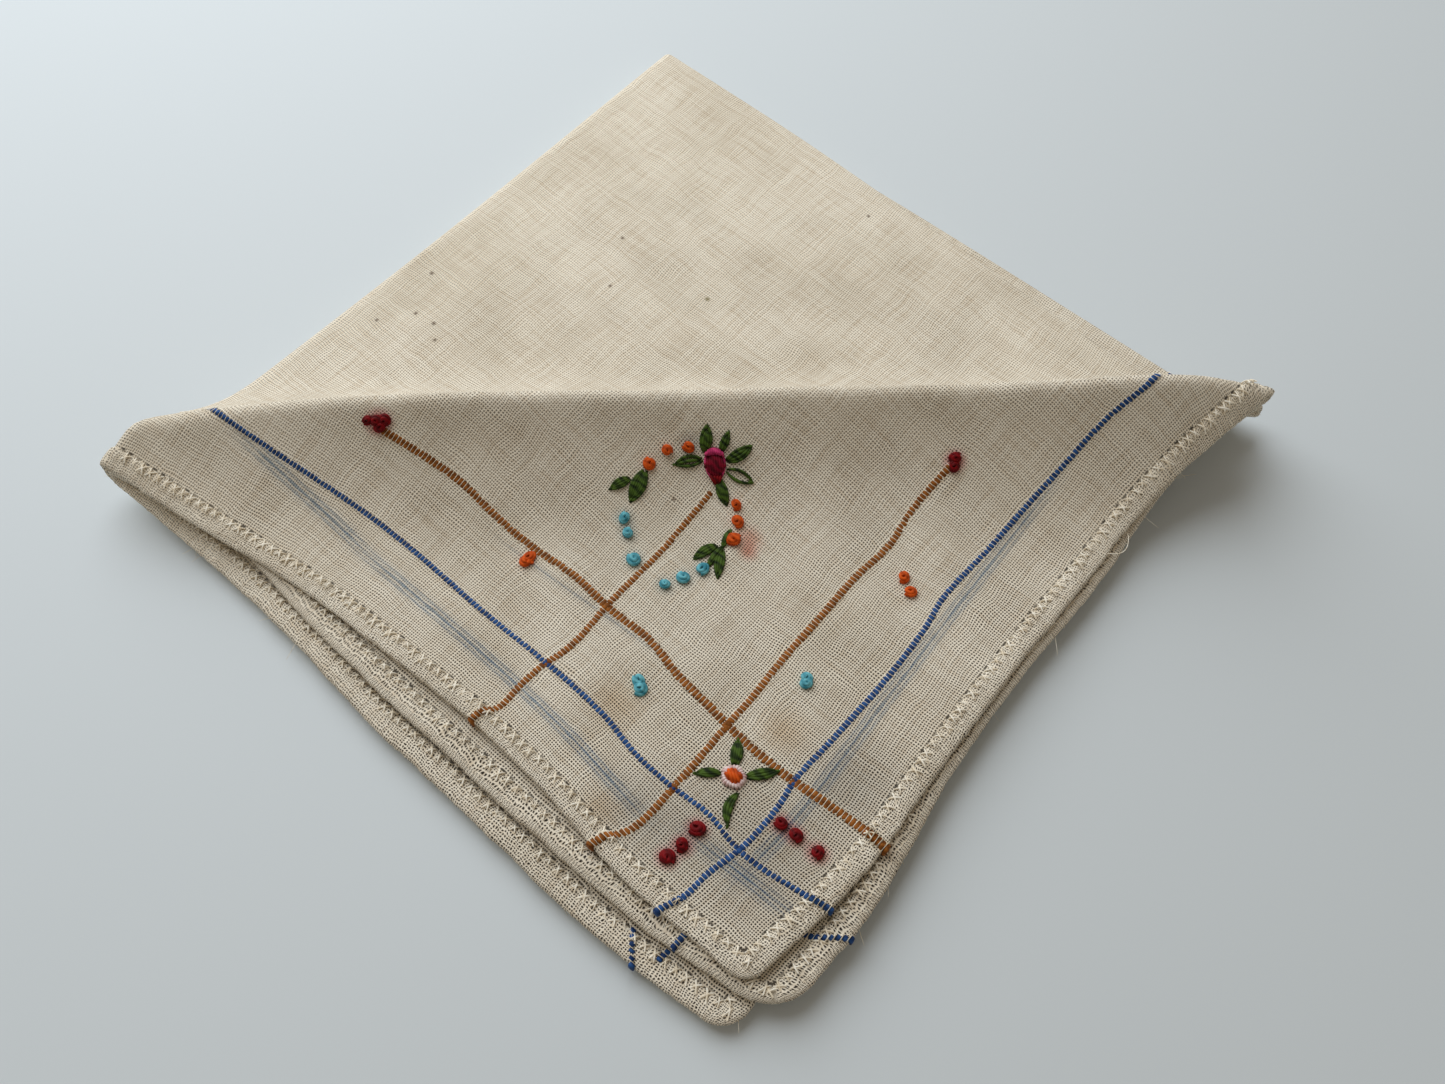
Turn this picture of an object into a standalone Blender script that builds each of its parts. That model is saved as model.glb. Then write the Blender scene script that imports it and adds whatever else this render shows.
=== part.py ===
"""Linen handkerchief: one hemmed square of cloth, folded in four and laid down as a diamond.

A soft ridge from an old crease runs across the diamond from its left to its right corner.
Sizes in this file are millimetres, and MM turns them into Blender's metres. +Z is up, the
far corner (the middle of the cloth) is at +Y, and the free corners with their hems are at -Y.
Run it with: blender --background --python part.py
"""

import math
from collections import namedtuple

import bmesh
import bpy
import numpy as np

MM = 0.001

# The cloth, and the stack of its four layers.
CLOTH_SIDE = 280.0
QUARTER = CLOTH_SIDE / 2
HALF_DIAGONAL = QUARTER / math.sqrt(2)
HEM_WIDTH = 3.5
THICKNESS = 1.0
LAYER_GAP = 0.5
PITCH = THICKNESS + LAYER_GAP
STACK_MIDDLE = 1.5 * PITCH + THICKNESS / 2

# The first fold lays one layer on another. The second carries that pack of two round, so the
# middle of the pack has twice the radius. A reach is the flat cloth on one side of a fold's
# middle that its half circle takes up.
FIRST_RADIUS = PITCH / 2
SECOND_RADIUS = PITCH
FIRST_REACH = FIRST_RADIUS * math.pi / 2
SECOND_REACH = SECOND_RADIUS * math.pi / 2

# The ridge across the diamond: its height at places along X, how its crest is turned from X,
# and how far its two flanks run out before the cloth lies flat.
Place = namedtuple("Place", "x height")
RIDGE = (
    Place(-100.0, 8.7),
    Place(-75.0, 11.0),
    Place(-45.0, 13.9),
    Place(-10.0, 13.8),
    Place(25.0, 13.9),
    Place(55.0, 15.0),
    Place(80.0, 15.4),
    Place(100.0, 8.8),
)
CREST_TURN = math.radians(-2.7)
CREST_ROUNDING = 5.0
FRONT_FLANK = 38.0
BACK_FLANK = 15.0

# How each quarter of the cloth lies beside a true square, seen from above. left, right and
# front are the shifts of three of its corners; the fourth, the middle of the cloth, stays. The
# hems and folds bow out (in, where negative) by these amounts at even steps along them. ridge
# is how much of the ridge the layer follows, and corner the reach of its rounded hem corner.
Layer = namedtuple("Layer", "left right front left_hem right_hem left_fold right_fold ridge corner")
TOP_RIGHT_SIDE_UP = Layer(
    left=(2.9, -2.7), right=(-5.2, -8.4), front=(1.2, 2.5),
    left_hem=(-2.8, -3.7, -2.3, -2.1, 0.1), right_hem=(-1.9, -0.4, 0.5, 1.1, 2.3),
    left_fold=(0.8,), right_fold=(1.3,), ridge=1.0, corner=3.0,
)
SECOND_WRONG_SIDE_UP = Layer(
    left=(2.9, -2.7), right=(-5.2, -8.4), front=(5.5, -2.3),
    left_hem=(-2.7, 0.2, 2.8, 3.5, 2.7), right_hem=(-2.6, -0.4, -1.2, -1.3, 0.9),
    left_fold=(0.8,), right_fold=(1.3,), ridge=1.0, corner=7.0,
)
THIRD_RIGHT_SIDE_UP = Layer(
    left=(2.9, -2.7), right=(-1.3, -1.2), front=(-1.2, -3.0),
    left_hem=(-0.3, 0.9, 3.3, 3.4, 2.6), right_hem=(-2.0, -2.5, -2.5, -2.5, -2.0),
    left_fold=(0.8,), right_fold=(0.7,), ridge=0.9, corner=5.0,
)
BOTTOM_WRONG_SIDE_UP = Layer(
    left=(2.9, -2.7), right=(-1.3, -1.2), front=(-1.4, -2.4),
    left_hem=(-0.7, 0.4, 2.8, 2.9, 2.1), right_hem=(-2.5, -3.0, -3.0, -3.0, -2.5),
    left_fold=(0.8,), right_fold=(0.7,), ridge=0.9, corner=5.0,
)
LAYERS = (TOP_RIGHT_SIDE_UP, SECOND_WRONG_SIDE_UP, THIRD_RIGHT_SIDE_UP, BOTTOM_WRONG_SIDE_UP)

# The middle of the folded cloth's footprint, which becomes the origin.
FOOTPRINT_MIDDLE = (-0.2, 5.75)

# Where the flat square is scored so that it can bend: on a coarse grid, round both folds,
# beside the hems, and along the ridge, as distances in the sheet from its crest to the front.
GRID_STEPS = 16
FIRST_FOLD_SCORES = 4
SECOND_FOLD_SCORES = 6
HEM_SCORES = (HEM_WIDTH, 2 * HEM_WIDTH)
BACK_SCORES = (-24.0, -20.0, -16.5, -13.5, -11.0, -9.0, -7.2, -5.6, -4.2, -3.0, -2.0, -1.0)
FRONT_SCORES = (0.0, 1.0, 2.0, 3.2, 4.6, 6.5, 9.0, 12.5, 17.0, 23.0, 30.0, 38.0)
RIDGE_SCORES = BACK_SCORES + FRONT_SCORES
# The crest is looked for this far before and beyond a quarter's diagonal, on two lines that
# lie this far to its sides.
CREST_SEARCH = 30
CREST_SIDEWAYS = 60.0
SCORE_SNAP = 0.4

# The cloth is laid over the ridge from behind its far corner to past its front one.
LAY_FROM = 110.0
LAY_TO = -150.0
LAY_STEPS = 520

LINEN_COLOUR = (0.66, 0.56, 0.44, 1.0)


def linear(position, values):
    """Reads evenly spaced values at a position counted in their steps."""
    return np.interp(position, range(len(values)), values)


def smooth(position, places, values):
    """Reads a smooth curve through values at the given places, flat beyond its ends."""
    places, values = np.asarray(places, float), np.asarray(values, float)
    position = np.clip(position, places[0], places[-1])
    span = np.clip(np.searchsorted(places, position) - 1, 0, len(places) - 2)
    slopes = np.gradient(values, places)
    width = places[span + 1] - places[span]
    t = (position - places[span]) / width
    start = (1 + 2 * t) * (1 - t) ** 2 * values[span] + t * (1 - t) ** 2 * width * slopes[span]
    end = t * t * (3 - 2 * t) * values[span + 1] + t * t * (t - 1) * width * slopes[span + 1]
    return start + end


def column(name):
    """One column of the table of layers, from the top layer down."""
    return [getattr(layer, name) for layer in LAYERS]


def bow(edge, along, level):
    """How far an edge bows out at a share of its length, at a level between two layers."""
    total = 0.0
    for number, values in enumerate(column(edge)):
        values = (0.0, *values, 0.0)
        curve = smooth(along, np.linspace(0, 1, len(values)), values)
        total = total + curve * np.clip(1 - np.abs(level - number), 0, 1)
    return total


def round_corners(u, v):
    """Pulls the hem corner of each quarter of the flat square in to a rounded one."""
    quarter = np.where(u > 0, np.where(v > 0, 0, 1), np.where(v > 0, 3, 2))
    reach = np.array(column("corner"))[quarter]
    beyond_u = np.clip((np.abs(u) - QUARTER + reach) / reach, 0, 1)
    beyond_v = np.clip((np.abs(v) - QUARTER + reach) / reach, 0, 1)
    less_u = reach * beyond_u * (1 - np.sqrt(1 - beyond_v**2 / 2))
    less_v = reach * beyond_v * (1 - np.sqrt(1 - beyond_u**2 / 2))
    return u - np.sign(u) * less_u, v - np.sign(v) * less_v


def fold(u, v):
    """Folds the square twice: gives distances from both folds, and the height in the stack."""
    first_turn = np.clip(v / FIRST_RADIUS, -math.pi / 2, math.pi / 2)
    in_pack = FIRST_RADIUS * np.sin(first_turn)
    from_first = np.maximum(np.abs(v) - FIRST_REACH, 0) - FIRST_RADIUS * np.cos(first_turn)
    second_turn = np.clip(u / SECOND_RADIUS, -math.pi / 2, math.pi / 2)
    radius = SECOND_RADIUS + in_pack
    height = radius * np.sin(second_turn)
    from_second = np.maximum(np.abs(u) - SECOND_REACH, 0) - radius * np.cos(second_turn)
    return from_second, from_first, height


def lay_out(from_second, from_first, level):
    """Places the folded layers in plan, each shifted and bowed by its row of the table."""
    along_left_hem = from_second / (QUARTER - SECOND_REACH)
    along_right_hem = from_first / (QUARTER - FIRST_REACH)
    x = (from_second - from_first) / math.sqrt(2)
    y = HALF_DIAGONAL - (from_second + from_first) / math.sqrt(2)
    for corner, share in (
        ("left", along_right_hem * (1 - along_left_hem)),
        ("right", along_left_hem * (1 - along_right_hem)),
        ("front", along_left_hem * along_right_hem),
    ):
        x = x + share * linear(level, [shift[0] for shift in column(corner)])
        y = y + share * linear(level, [shift[1] for shift in column(corner)])
    for edge, along, nearness, out_x, out_y in (
        ("left_hem", along_left_hem, along_right_hem, -1, -1),
        ("right_hem", along_right_hem, along_left_hem, 1, -1),
        ("left_fold", along_right_hem, 1 - along_left_hem, -1, 1),
        ("right_fold", along_left_hem, 1 - along_right_hem, 1, 1),
    ):
        amount = bow(edge, along, level) * nearness**4 / math.sqrt(2)
        x = x + out_x * amount
        y = y + out_y * amount
    return x, y


def ridge_height(x, y, follow):
    """Height of a layer's ridge over the table, for the share of the ridge that it follows."""
    from_crest = y - x * math.tan(CREST_TURN)
    rounded = np.sqrt(from_crest**2 + CREST_ROUNDING**2) - CREST_ROUNDING
    flank = np.where(from_crest < 0, FRONT_FLANK, BACK_FLANK)
    profile = np.clip(1 - rounded / flank, 0, 1) ** 3
    return follow * smooth(x, [place.x for place in RIDGE], [place.height for place in RIDGE]) * profile


def lay_over_ridge(x, y, follow):
    """Moves points along Y so that the cloth keeps its length on its way over the ridge."""
    path = np.linspace(LAY_FROM, LAY_TO, LAY_STEPS + 1)
    heights = ridge_height(x[:, None], path[None, :], follow[:, None])
    lengths = np.cumsum(np.hypot(np.diff(heights, axis=1), np.diff(path)[None, :]), axis=1)
    return np.array([np.interp(LAY_FROM - to, row, path[1:]) for to, row in zip(y, lengths)])


def lift(x, y, follow, distance):
    """Raises points from the ridge's surface, square to it."""
    step = 0.05
    z = ridge_height(x, y, follow)
    slope_x = (ridge_height(x + step, y, follow) - ridge_height(x - step, y, follow)) / (2 * step)
    slope_y = (ridge_height(x, y + step, follow) - ridge_height(x, y - step, follow)) / (2 * step)
    normal = np.stack([-slope_x, -slope_y, np.ones_like(z)], axis=1)
    normal /= np.linalg.norm(normal, axis=1, keepdims=True)
    return np.stack([x, y, z], axis=1) + normal * distance[:, None]


def drape(u, v):
    """Takes points of the flat square, measured from its middle, to the folded cloth."""
    u, v = round_corners(u, v)
    from_second, from_first, height = fold(u, v)
    level = 1.5 - height / PITCH
    x, y = lay_out(from_second, from_first, level)
    follow = linear(level, column("ridge"))
    y = lay_over_ridge(x, y, follow)
    points = lift(x, y, follow, STACK_MIDDLE + height)
    return points - np.array([*FOOTPRINT_MIDDLE, 0.0])


def score(sheet, faces, point, normal):
    """Cuts a line across faces of the flat sheet, so that it can bend there."""
    parts = {part for face in faces for part in (*face.verts, *face.edges, face)}
    ordered = [part for part in (*sheet.verts, *sheet.edges, *sheet.faces) if part in parts]
    bmesh.ops.bisect_plane(
        sheet, geom=ordered, dist=SCORE_SNAP, plane_co=(*point, 0.0), plane_no=(*normal, 0.0)
    )


def flat_cloth():
    """The flat square of cloth, scored where it will bend."""
    sheet = bmesh.new()
    bmesh.ops.create_grid(sheet, x_segments=GRID_STEPS, y_segments=GRID_STEPS, size=QUARTER)
    for across, reach, scores in (
        ((0.0, 1.0), FIRST_REACH, FIRST_FOLD_SCORES),
        ((1.0, 0.0), SECOND_REACH, SECOND_FOLD_SCORES),
    ):
        fold_lines = np.linspace(-reach, reach, scores + 1)
        hem_lines = [side * (QUARTER - inset) for side in (-1, 1) for inset in HEM_SCORES]
        for line in (*fold_lines, *hem_lines):
            score(sheet, sheet.faces[:], (across[0] * line, across[1] * line), across)
    for side_u in (-1, 1):
        for side_v in (-1, 1):
            score_ridge(sheet, side_u, side_v)
    bmesh.ops.triangulate(sheet, faces=sheet.faces[:], quad_method="SHORT_EDGE")
    return sheet


def sheet_point(side_u, side_v, ahead, sideways):
    """A point of one quarter, measured from the middle of its left to right diagonal."""
    u = QUARTER / 2 + (ahead + sideways) / math.sqrt(2)
    v = QUARTER / 2 + (ahead - sideways) / math.sqrt(2)
    return np.array([u * side_u, v * side_v])


def crest_point(side_u, side_v, sideways):
    """Where the ridge's crest crosses a line of one quarter that runs straight ahead."""
    ahead = np.linspace(-CREST_SEARCH, CREST_SEARCH, 2 * CREST_SEARCH + 1)
    u, v = sheet_point(side_u, side_v, ahead, sideways)
    points = drape(u, v) + np.array([*FOOTPRINT_MIDDLE, 0.0])
    from_crest = points[:, 1] - points[:, 0] * math.tan(CREST_TURN)
    return sheet_point(side_u, side_v, np.interp(0.0, -from_crest, ahead), sideways)


def score_ridge(sheet, side_u, side_v):
    """Scores one quarter of the cloth along the ridge's crest and down its flanks."""
    left = crest_point(side_u, side_v, -CREST_SIDEWAYS)
    right = crest_point(side_u, side_v, CREST_SIDEWAYS)
    run_u, run_v = (right - left) / np.linalg.norm(right - left)
    normal = np.array([run_v, -run_u])
    normal *= np.sign(normal @ (side_u, side_v))
    for distance in RIDGE_SCORES:
        middles = [(face, face.calc_center_median()) for face in sheet.faces]
        quarter = [face for face, at in middles if at.x * side_u > 0 and at.y * side_v > 0]
        score(sheet, quarter, (left + right) / 2 + normal * distance, normal)


def linen_material():
    """Unbleached linen: matt, with nothing metallic in it."""
    material = bpy.data.materials.new("linen")
    material.use_nodes = True
    shader = material.node_tree.nodes["Principled BSDF"]
    shader.inputs["Base Color"].default_value = LINEN_COLOUR
    shader.inputs["Roughness"].default_value = 0.9
    shader.inputs["Metallic"].default_value = 0.0
    return material


def handkerchief():
    """The folded cloth as one closed solid: the draped sheet with its thickness."""
    sheet = flat_cloth()
    flat = np.array([vertex.co[:] for vertex in sheet.verts])
    for vertex, point in zip(sheet.verts, drape(flat[:, 0], flat[:, 1])):
        vertex.co = point * MM
    mesh = bpy.data.meshes.new("handkerchief")
    sheet.to_mesh(mesh)
    sheet.free()
    mesh.shade_smooth()
    mesh.materials.append(linen_material())
    cloth = bpy.data.objects.new("handkerchief", mesh)
    solidify = cloth.modifiers.new("Cloth thickness", "SOLIDIFY")
    solidify.thickness = THICKNESS * MM
    solidify.offset = 0.0
    return cloth


def main():
    for old in list(bpy.data.objects):
        bpy.data.objects.remove(old, do_unlink=True)
    collection = bpy.data.collections.new("linen_handkerchief")
    bpy.context.scene.collection.children.link(collection)
    collection.objects.link(handkerchief())


main()
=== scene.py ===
import math
from functools import partial

import bpy
import numpy as np
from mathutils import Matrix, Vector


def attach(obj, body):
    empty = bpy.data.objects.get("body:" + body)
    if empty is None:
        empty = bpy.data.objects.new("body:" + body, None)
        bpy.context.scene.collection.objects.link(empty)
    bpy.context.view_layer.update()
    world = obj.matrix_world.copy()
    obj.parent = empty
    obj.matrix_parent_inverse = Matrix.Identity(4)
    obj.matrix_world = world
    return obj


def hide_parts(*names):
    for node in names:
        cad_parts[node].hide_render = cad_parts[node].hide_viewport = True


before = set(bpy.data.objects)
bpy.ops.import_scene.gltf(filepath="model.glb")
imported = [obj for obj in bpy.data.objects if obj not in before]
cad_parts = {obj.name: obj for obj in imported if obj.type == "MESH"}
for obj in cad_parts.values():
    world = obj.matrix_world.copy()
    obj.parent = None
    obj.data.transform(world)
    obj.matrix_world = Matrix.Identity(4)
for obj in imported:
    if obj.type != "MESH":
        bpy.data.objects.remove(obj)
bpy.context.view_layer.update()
print("frame loaded")

mm = 0.001
quarter = 140.0             # half the side of the flat cloth, and the side of each folded quarter
halfDiagonal = quarter / math.sqrt(2)
frameWidth = 1445           # pixels, of the photograph's frame

# The cloth is one flat square. A place on it is (u, v) in mm from its middle. u runs across the
# second fold and v across the first, so u and v above 0 are the quarter that lies on top.
cloth = {
    "thickness": 0.36,      # mm, of one layer of linen
    "layerPitch": 1.5,      # mm, from one layer's middle to the next, as in the solids
    "stackMiddle": 2.75,    # mm, height of the middle of the stack
    "coarseStep": 1.5,      # mm, between the sheet's grid lines away from the folds
    "sheetEdge": 138.6,     # mm, where the sheet ends inside its hem
    "threadPitch": 0.44,    # mm from yarn to yarn
    "footprint": (-0.2, 5.75),      # mm, the middle of its footprint before it is moved to the origin
}

ridge = {
    "x": (-100, -75, -45, -10, 25, 55, 80, 100),
    "height": (5.9, 10.5, 12.9, 12.5, 12.7, 14.6, 15.8, 8.6),
    "back": (0.0, 0.9, 1.2, 1.3, 1.4, 0.5, 0.0, 0.0),       # how far the crest bends to the back
    "turn": -2.7,           # degrees
    "rounding": 1.3,        # mm, of its crest
    "frontFlank": 30.5,     # mm from the crest to where each flank has died away
    "backFlank": 16.2,
}

# How each layer lies beside a true square, from the top one down: shifts of three corners, how
# far the hems and folds bow out, its share of the ridge and the reach of its rounded corner.
layers = {
    "left": ((2.5, -4.6), (2.5, -4.6), (2.5, -4.6), (2.5, -4.6)),
    "right": ((-5.0, -11.1), (-5.0, -11.1), (-1.4, -2.8), (-1.4, -2.8)),
    "front": ((2.3, -0.3), (6.4, -4.9), (-0.2, -4.9), (-0.4, -4.3)),
    "leftHem": ((-0.6, -2.1, -2.3, -2.3, 0.0), (-2.1, 0.8, 2.6, 3.1, 2.6),
                (0.5, 1.5, 3.1, 3.1, 2.5), (0.1, 1.0, 2.6, 2.6, 2.0)),
    "rightHem": ((2.2, 1.5, 0.9, 1.2, 2.2), (0.8, 1.0, -0.8, -1.2, 0.8),
                 (-2.0, -2.5, -2.5, -2.5, -2.0), (-2.5, -3.0, -3.0, -3.0, -2.5)),
    "leftFold": ((-0.9,), (-0.9,), (-0.9,), (-0.9,)),
    "rightFold": ((1.2, 1.1, 0.8), (1.2, 1.1, 0.8), (0.4, 0.7, 0.4), (0.4, 0.7, 0.4)),
    "follow": (1.0, 1.0, 0.9, 0.9),
    "corner": (3.0, 7.0, 5.0, 5.0),
}

# Soft troughs (below 0) and rises in the top quarter: middle, length along its run, width, depth.
creases = {
    "u": (70, 104, 96, 118, 60, 88, 112, 128, 100),
    "v": (96, 92, 66, 60, 120, 122, 128, 112, 30),
    "run": (45, 60, 20, 80, 5, 10, 0, 90, 70),      # degrees from u towards v
    "length": (26, 22, 18, 20, 22, 18, 16, 14, 22),
    "width": (6, 5, 6, 5, 3.5, 3.5, 3, 3, 7),
    "depth": (0.5, -0.45, 0.5, 0.4, -0.35, 0.35, 0.35, 0.3, -0.6),
}

hem = {
    "width": 3.4,           # mm
    "thickness": 1.4,       # mm
    "step": 0.55,           # mm along the hem
    "stitchPitch": 1.8,     # mm
    "stitchRadius": 0.13,   # mm, of its thread
    "stitchWidth": 0.9,     # mm, then how far it reaches on to the hem and rises over it
    "stitchReach": 1.35,
    "stitchRise": 0.62,
    "stitchKnee": (0.5, 0.3, 1.6),      # share of its width, reach and rise at the bend
    "foldClear": 2.8,       # mm beside a fold that have no stitch
    "pucker": 0.22,         # share of its thickness that a stitch draws in
    "yarnsCloser": 1.2,     # of the plain cloth's yarns in a mm round the turned edge
    "slitInset": 0.35,      # mm from the hem to the slits beside it
    "slitWidth": 0.24,      # mm, half of a slit
}


def readEven(position, values):
    return np.interp(position, range(len(values)), values)


def readSmooth(position, places, values):
    # a smooth curve through the values, flat beyond its ends
    places, values = np.asarray(places, float), np.asarray(values, float)
    position = np.clip(position, places[0], places[-1])
    span = np.clip(np.searchsorted(places, position) - 1, 0, len(places) - 2)
    slopes = np.gradient(values, places)
    width = places[span + 1] - places[span]
    t = (position - places[span]) / width
    start = (1 + 2 * t) * (1 - t) ** 2 * values[span] + t * (1 - t) ** 2 * width * slopes[span]
    end = t * t * (3 - 2 * t) * values[span + 1] + t * t * (t - 1) * width * slopes[span + 1]
    return start + end


def bow(edge, along, level):
    total = 0.0
    for number, values in enumerate(layers[edge]):
        values = (0.0, *values, 0.0)
        curve = readSmooth(along, np.linspace(0, 1, len(values)), values)
        total = total + curve * np.clip(1 - np.abs(level - number), 0, 1)
    return total


def roundCorners(u, v):
    which = np.where(u > 0, np.where(v > 0, 0, 1), np.where(v > 0, 3, 2))
    reach = np.array(layers["corner"])[which]
    beyondU = np.clip((np.abs(u) - quarter + reach) / reach, 0, 1)
    beyondV = np.clip((np.abs(v) - quarter + reach) / reach, 0, 1)
    lessU = reach * beyondU * (1 - np.sqrt(1 - beyondV**2 / 2))
    lessV = reach * beyondV * (1 - np.sqrt(1 - beyondU**2 / 2))
    return u - np.sign(u) * lessU, v - np.sign(v) * lessV


def foldTwice(u, v):
    # distances from both folds, and the height in the stack
    firstRadius, secondRadius = cloth["layerPitch"] / 2, cloth["layerPitch"]
    firstReach, secondReach = firstRadius * math.pi / 2, secondRadius * math.pi / 2
    firstTurn = np.clip(v / firstRadius, -math.pi / 2, math.pi / 2)
    inPack = firstRadius * np.sin(firstTurn)
    fromFirst = np.maximum(np.abs(v) - firstReach, 0) - firstRadius * np.cos(firstTurn)
    secondTurn = np.clip(u / secondRadius, -math.pi / 2, math.pi / 2)
    radius = secondRadius + inPack
    height = radius * np.sin(secondTurn)
    fromSecond = np.maximum(np.abs(u) - secondReach, 0) - radius * np.cos(secondTurn)
    return fromSecond / (quarter - secondReach), fromFirst / (quarter - firstReach), height


def layOut(alongLeft, alongRight, level):
    # alongLeft and alongRight are shares of a hem's length, from the folds to the front corner
    pitch = cloth["layerPitch"]
    fromSecond = alongLeft * (quarter - pitch * math.pi / 2)
    fromFirst = alongRight * (quarter - pitch * math.pi / 4)
    x = (fromSecond - fromFirst) / math.sqrt(2)
    y = halfDiagonal - (fromSecond + fromFirst) / math.sqrt(2)
    for corner, share in (("left", alongRight * (1 - alongLeft)),
                          ("right", alongLeft * (1 - alongRight)),
                          ("front", alongLeft * alongRight)):
        x = x + share * readEven(level, [shift[0] for shift in layers[corner]])
        y = y + share * readEven(level, [shift[1] for shift in layers[corner]])
    for edge, along, nearness, outX, outY in (("leftHem", alongLeft, alongRight, -1, -1),
                                              ("rightHem", alongRight, alongLeft, 1, -1),
                                              ("leftFold", alongRight, 1 - alongLeft, -1, 1),
                                              ("rightFold", alongLeft, 1 - alongRight, 1, 1)):
        amount = bow(edge, along, level) * nearness**4 / math.sqrt(2)
        x, y = x + outX * amount, y + outY * amount
    return x, y


def ridgeHeight(x, y, follow):
    fromCrest = y - x * math.tan(math.radians(ridge["turn"])) - readSmooth(x, ridge["x"], ridge["back"])
    rounded = np.sqrt(fromCrest**2 + ridge["rounding"]**2) - ridge["rounding"]
    flank = np.where(fromCrest < 0, ridge["frontFlank"], ridge["backFlank"])
    profile = np.clip(1 - rounded / flank, 0, 1) ** 3
    return follow * readSmooth(x, ridge["x"], ridge["height"]) * profile


def layOverRidge(x, y, follow):
    # moves points along Y so that the cloth keeps its length on its way over the ridge
    path = np.linspace(110.0, -150.0, 521)
    laid = np.empty_like(y)
    for start in range(0, len(x), 5000):
        part = slice(start, start + 5000)
        heights = ridgeHeight(x[part, None], path[None, :], follow[part, None])
        steps = np.hypot(np.diff(heights, axis=1), np.diff(path)[None, :])
        lengths = np.cumsum(steps, axis=1)
        laid[part] = [np.interp(path[0] - to, row, path[1:]) for to, row in zip(y[part], lengths)]
    return laid


def creaseRelief(u, v):
    total = 0.0
    for row in zip(*creases.values()):
        middleU, middleV, run, length, width, depth = row
        run = math.radians(run)
        along = (u - middleU) * math.cos(run) + (v - middleV) * math.sin(run)
        across = (v - middleV) * math.cos(run) - (u - middleU) * math.sin(run)
        total = total + depth * np.exp(-(along / length) ** 2 - (across / width) ** 2)
    fade = np.clip((np.minimum(u, v) - 4) / 10, 0, 1)
    return total * fade


def drape(u, v):
    # takes places of the flat square to the folded cloth, in mm
    u, v = roundCorners(np.asarray(u, float), np.asarray(v, float))
    alongLeft, alongRight, height = foldTwice(u, v)
    level = 1.5 - height / cloth["layerPitch"]
    x, y = layOut(alongLeft, alongRight, level)
    follow = readEven(level, layers["follow"])
    y = layOverRidge(x, y, follow)
    z = ridgeHeight(x, y, follow) + cloth["stackMiddle"] + height + creaseRelief(u, v)
    return np.stack([x, y, z], axis=1) - np.array([*cloth["footprint"], 0.0])


def unit(vectors):
    return vectors / np.maximum(np.linalg.norm(vectors, axis=-1, keepdims=True), 1e-9)


def surface(u, v):
    # place, right side's normal and the directions of u and v, at places of the cloth
    u, v = np.asarray(u, float).ravel(), np.asarray(v, float).ravel()
    step = 0.05
    middle = drape(u, v)
    alongU = drape(u + step, v) - middle
    alongV = drape(u, v + step) - middle
    return middle, unit(np.cross(alongV, alongU)), unit(alongU), unit(alongV)


def place(u, v, height):
    # a place that stands off the cloth's middle by height, on its right side where above 0
    middle, normal, _, _ = surface(u, v)
    return middle + normal * np.asarray(height, float).reshape(-1, 1)


def toLinear(code):
    parts = [int(code[at:at + 2], 16) / 255 for at in (1, 3, 5)]
    return (*[p / 12.92 if p <= 0.04045 else ((p + 0.055) / 1.055) ** 2.4 for p in parts], 1.0)


def setInputs(node, inputs):
    # each is a value, a socket to link, or a node, whose first output is then linked
    for key, value in inputs.items():
        if isinstance(value, bpy.types.Node):
            value = value.outputs[0]
        if isinstance(value, bpy.types.NodeSocket):
            node.id_data.links.new(value, node.inputs[key])
        else:
            node.inputs[key].default_value = value


def addNode(tree, kind, inputs, **settings):
    node = tree.nodes.new(kind)
    for name, value in settings.items():
        setattr(node, name, value)
    setInputs(node, inputs)
    return node


def newMaterial(name):
    material = bpy.data.materials.new(name)
    material.use_nodes = True
    tree = material.node_tree
    return material, partial(addNode, tree), tree.nodes["Principled BSDF"]


# Linen: woven from flax in plain weave, unbleached. Matt, open enough for the layers below to
# show as a grey cast, with thick and thin yarns both ways and painted shade in the holes between yarns.
linenLook = {
    "yarn": "#FFF6E3",
    "yarnDark": "#E8D9C1",
    # painted shade in the holes between the yarns, and how strongly it is laid on
    "hole": "#261D13",
    "holeShadeStrength": 1.0,
    "yarnSide": (0.88, -0.45),      # cosine across the yarns, where a yarn's side starts and ends
    "soil": "#B9AE98",
    "show": "#23406E",      # blue cotton of the layer below, seen in the holes
    "showCast": "#93A9BE",  # and what it does to the yarns over it
    "showPitch": 0.9,       # mm between its threads
    "showFade": 5,          # mm, half of the way over which it fades at its ends
    "wander": 1.8,          # mm that a yarn drifts
    "crumple": 0.12,        # mm that it shakes in flat cloth
    "hemCrumple": 0.6,      # mm that it shakes where it is turned and sewn
    "slub": (1.9, 0.09),    # changes of thickness in a mm, from yarn to yarn and along a yarn
    "parted": (120.0, 290.0),       # mm of u and v together, from where the layers lie close to loose
    "bump": 0.4,            # of a yarn's height
    "yarnHeight": 0.15,     # mm
    "roughness": 0.92,
    "specular": 0.2,
}
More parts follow.
